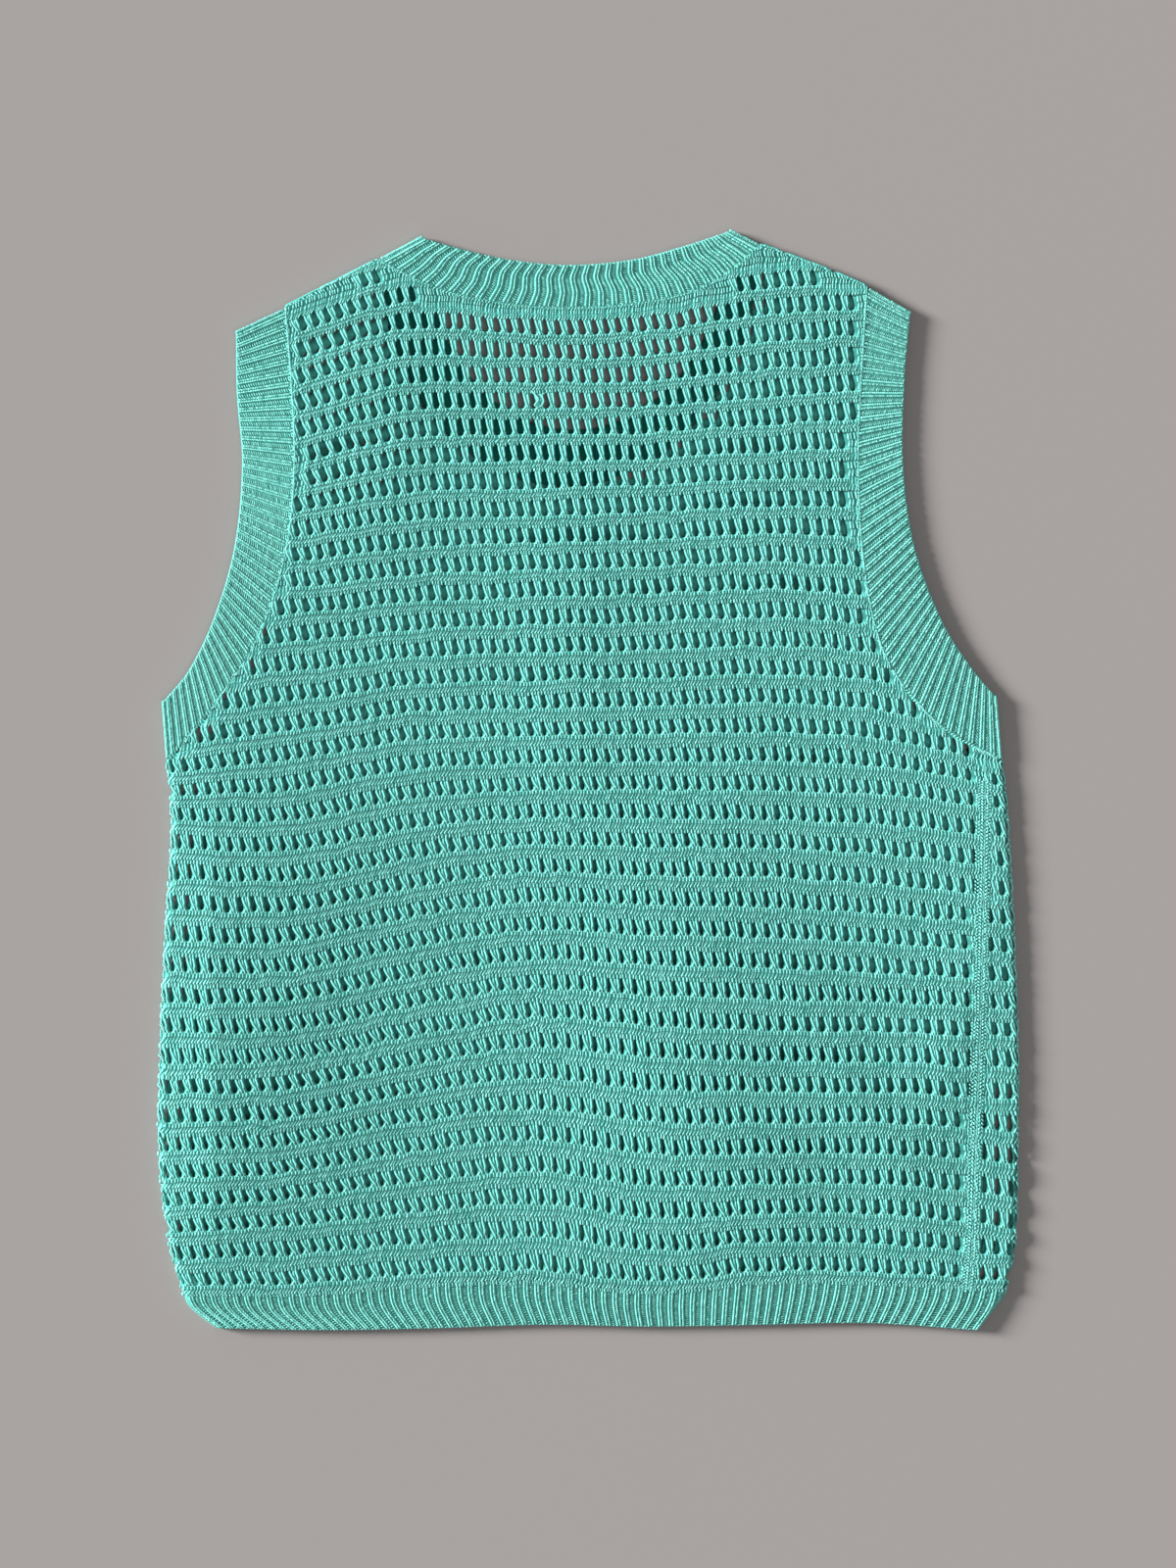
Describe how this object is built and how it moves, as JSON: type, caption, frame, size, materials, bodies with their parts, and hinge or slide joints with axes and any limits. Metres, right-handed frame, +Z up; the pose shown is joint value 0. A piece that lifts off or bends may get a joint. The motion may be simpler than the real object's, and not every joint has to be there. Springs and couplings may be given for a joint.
{
  "type": "knitted sweater vest",
  "caption": "sleeveless openwork knit vest laid flat, back up, with ribbed neckband, armbands and hem; a soft garment that rests on a surface",
  "frame": {"origin": "on the surface that the vest lies on, under the middle of its outline", "axes": "+X to the right as seen from above, +Y from the hem to the neck, +Z up from the surface, out of the back of the vest"},
  "size_m": [0.4907, 0.6285, 0.0118],
  "materials": {
    "openwork_knit": "matte mint yarn, soft, openwork courses and eyelets",
    "rib_knit": "matte mint yarn, soft, one-by-one rib"
  },
  "bodies": {
    "root": {"back_panel": "openwork_knit", "front_panel": "openwork_knit", "hem_rib_back": "rib_knit", "hem_rib_front": "rib_knit", "armband_left": "rib_knit", "armband_right": "rib_knit", "neckband": "rib_knit"}
  },
  "joints": []
}
